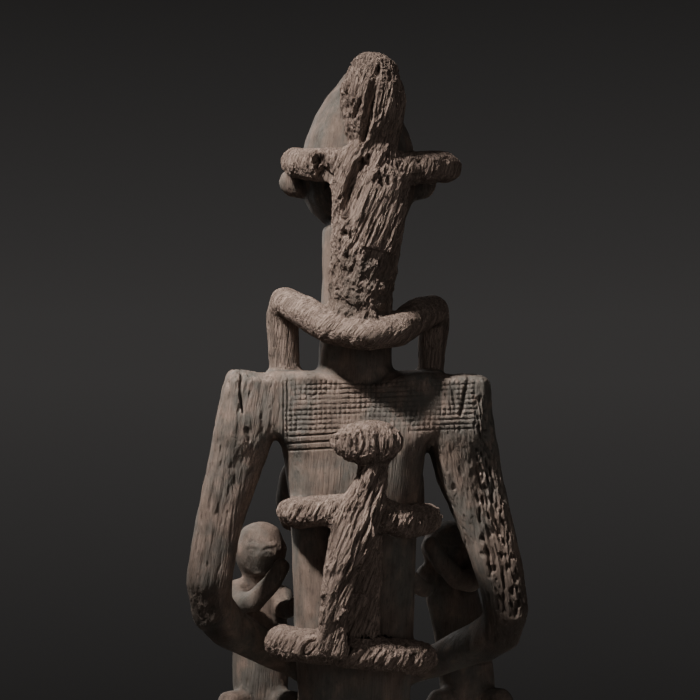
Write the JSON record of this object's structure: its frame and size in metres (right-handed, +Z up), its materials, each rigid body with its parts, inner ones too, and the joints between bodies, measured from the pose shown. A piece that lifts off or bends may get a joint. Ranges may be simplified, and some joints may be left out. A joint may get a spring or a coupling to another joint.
{
  "type": "carved seated ancestor figure",
  "caption": "Weathered carved wooden figure seated on a round stool, long torso and neck, with small figures clinging to its shoulders, back and lap.",
  "frame": {"origin": "middle of the base's flat underside", "axes": "+Z up along the figure; -Y the way the figure faces; +X towards the figure's own left"},
  "size_m": [0.256, 0.256, 0.6049],
  "materials": {
    "patinated_wood": "old grey-brown wood with a dull handled patina, fine cracks and adze marks",
    "weathered_wood": "dry eroded wood, matte, with raised grain, splits and pits",
    "base_wood": "dark worn wood with radial drying cracks"
  },
  "bodies": {
    "root": {"back_child_head": "weathered_wood", "back_child_left_arm": "weathered_wood", "back_child_left_leg": "weathered_wood", "back_child_right_arm": "weathered_wood", "back_child_right_leg": "weathered_wood", "back_child_torso": "weathered_wood", "base": "base_wood", "chest": "patinated_wood", "head": "patinated_wood", "left_breast": "patinated_wood", "left_ear": "patinated_wood", "left_foot": "patinated_wood", "left_forearm": "patinated_wood", "left_hand": "patinated_wood", "left_lap_child_head": "patinated_wood", "left_lap_child_inner_arm": "patinated_wood", "left_lap_child_inner_leg": "patinated_wood", "left_lap_child_outer_arm": "patinated_wood", "left_lap_child_outer_leg": "patinated_wood", "left_lap_child_torso": "patinated_wood", "left_shin": "patinated_wood", "left_thigh": "patinated_wood", "left_upper_arm": "patinated_wood", "neck": "patinated_wood", "pelvis": "patinated_wood", "rider_head": "weathered_wood", "rider_left_arm": "weathered_wood", "rider_left_shin": "weathered_wood", "rider_left_thigh": "weathered_wood", "rider_right_arm": "weathered_wood", "rider_right_shin": "weathered_wood", "rider_right_thigh": "weathered_wood", "rider_torso": "weathered_wood", "right_breast": "patinated_wood", "right_ear": "patinated_wood", "right_foot": "patinated_wood", "right_forearm": "patinated_wood", "right_hand": "patinated_wood", "right_lap_child_head": "patinated_wood", "right_lap_child_inner_arm": "patinated_wood", "right_lap_child_inner_leg": "patinated_wood", "right_lap_child_outer_arm": "patinated_wood", "right_lap_child_outer_leg": "patinated_wood", "right_lap_child_torso": "patinated_wood", "right_shin": "patinated_wood", "right_thigh": "patinated_wood", "right_upper_arm": "patinated_wood", "stool_column": "base_wood", "stool_seat": "base_wood", "torso": "patinated_wood"}
  },
  "joints": []
}
